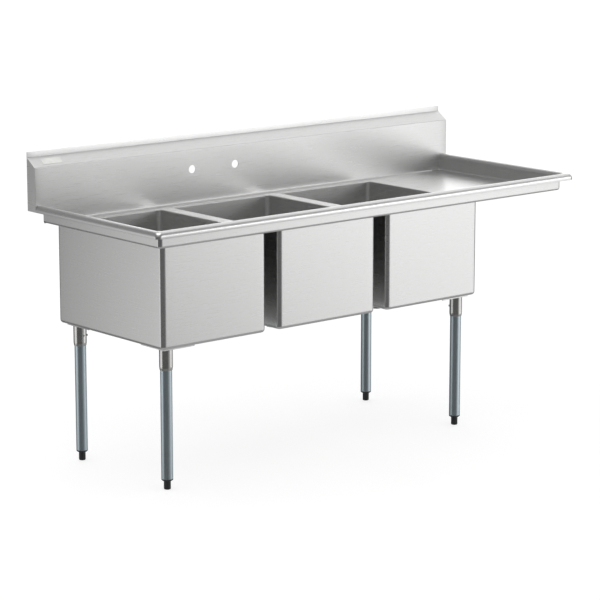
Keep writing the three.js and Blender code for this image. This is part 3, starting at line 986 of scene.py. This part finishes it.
def surround():
    """The room as seen along each direction: to the right, to the rear and up are positive."""
    world = bpy.data.worlds.new("studio")
    bpy.context.scene.world = world
    world.use_nodes = True
    tree = world.node_tree
    tree.nodes.clear()
    way = tree.nodes.new("ShaderNodeSeparateXYZ")
    tree.links.new(tree.nodes.new("ShaderNodeTexCoord").outputs["Generated"], way.inputs[0])
    side, depth, height = way.outputs
    ceiling = joined(
        tree, "MULTIPLY", fade(tree, height, 0.30, 0.72), fade(tree, depth, -0.42, -0.05),
        fade(tree, side, 0.0, 1.0), CEILING,
    )
    overhead = joined(tree, "MULTIPLY", fade(tree, height, 0.84, 0.97), OVERHEAD)
    rear = joined(
        tree, "MULTIPLY", fade(tree, height, -0.35, 0.25), fade(tree, depth, 0.30, 0.62),
        fade(tree, height, 0.62, 0.30), fade(tree, side, -0.30, 0.40), REAR_SKY,
    )
    glow = joined(
        tree, "MULTIPLY", fade(tree, side, -0.2, 0.45), fade(tree, height, 0.35, 0.05), SIDE_GLOW
    )
    ground = joined(tree, "MULTIPLY", fade(tree, height, -0.45, -0.85), GROUND)
    room = joined(tree, "MAXIMUM", ceiling, rear, ground, glow)
    walls = joined(tree, "MULTIPLY", fade(tree, height, -0.05, 0.25), UPPER_WALLS)
    room = joined(tree, "ADD", room, overhead, walls, AMBIENT)
    path = tree.nodes.new("ShaderNodeLightPath")
    mixed = tree.nodes.new("ShaderNodeMix")
    mixed.data_type = "FLOAT"
    mixed.inputs["A"].default_value = DOME
    tree.links.new(room, mixed.inputs["B"])
    tree.links.new(path.outputs["Is Glossy Ray"], mixed.inputs["Factor"])
    sky = tree.nodes.new("ShaderNodeBackground")
    tree.links.new(mixed.outputs["Result"], sky.inputs["Strength"])
    out = tree.nodes.new("ShaderNodeOutputWorld")
    tree.links.new(sky.outputs[0], out.inputs["Surface"])


def soft_panel(name, middle, target, width, height, strength, edges):
    """A glowing sheet that fades out over these shares of its left, right, lower and upper sides."""
    verts = [(x * width / 2, y * height / 2, 0) for x, y in SQUARE]
    panel = new_piece(name, verts, [(0, 1, 2, 3)])
    panel.location = middle
    panel.rotation_euler = (Vector(middle) - Vector(target)).to_track_quat("Z", "Y").to_euler()
    material = bpy.data.materials.new(name + "_glow")
    material.use_nodes = True
    tree = material.node_tree
    tree.nodes.clear()
    at = tree.nodes.new("ShaderNodeSeparateXYZ")
    tree.links.new(tree.nodes.new("ShaderNodeTexCoord").outputs["Generated"], at.inputs[0])
    across, up = at.outputs["X"], at.outputs["Y"]
    left, right, low, high = edges
    cover = joined(
        tree, "MULTIPLY", fade(tree, across, 0, left), fade(tree, across, 1, 1 - right),
        fade(tree, up, 0, low), fade(tree, up, 1, 1 - high),
    )
    glow = tree.nodes.new("ShaderNodeEmission")
    glow.inputs["Strength"].default_value = strength
    clear = tree.nodes.new("ShaderNodeBsdfTransparent")
    mix = tree.nodes.new("ShaderNodeMixShader")
    tree.links.new(cover, mix.inputs["Fac"])
    tree.links.new(clear.outputs[0], mix.inputs[1])
    tree.links.new(glow.outputs[0], mix.inputs[2])
    out = tree.nodes.new("ShaderNodeOutputMaterial")
    tree.links.new(mix.outputs[0], out.inputs["Surface"])
    panel.data.materials.append(material)
    panel.visible_camera = False
    panel.visible_diffuse = False
    panel.visible_shadow = False


studio_floor()
surround()
soft_panel(
    "front_panel", (2.76, -3.19, -0.3), (0.06, 0.01, -0.3), 5.6, 2.4, 1.12, (0.66, 0.36, 0.30, 0.30)
)
soft_panel(
    "upper_panel", (2.72, -3.15, 1.45), (0.06, 0.01, 1.45), 6.0, 2.1, 2.45, (0.42, 0.50, 0.46, 0.30)
)
soft_panel(
    "left_panel", (-3.42, 1.74, 0.0), (-1.47, -0.46, 0.0), 4.0, 2.8, 0.85, (0.43, 0.15, 0.25, 0.25)
)


# ---------------------------------------------------------------------------------------------
# Camera: a long lens, turned to the sink's left front and a little above it.
# ---------------------------------------------------------------------------------------------
AZIMUTH, ELEVATION, DISTANCE = math.radians(-40.448), math.radians(11.680), 9.214
TARGET = Vector((-0.0546, 0.0, 0.5129))
lens = bpy.data.cameras.new("camera")
lens.sensor_width = 36
lens.angle = math.radians(13.713)
camera = bpy.data.objects.new("camera", lens)
reach = Vector(
    (
        math.sin(AZIMUTH) * math.cos(ELEVATION),
        -math.cos(AZIMUTH) * math.cos(ELEVATION),
        math.sin(ELEVATION),
    )
)
camera.location = TARGET + reach * DISTANCE
camera.rotation_euler = (-reach).to_track_quat("-Z", "Y").to_euler()
bpy.context.scene.collection.objects.link(camera)
bpy.context.scene.camera = camera
bpy.context.scene.view_settings.view_transform = "Standard"
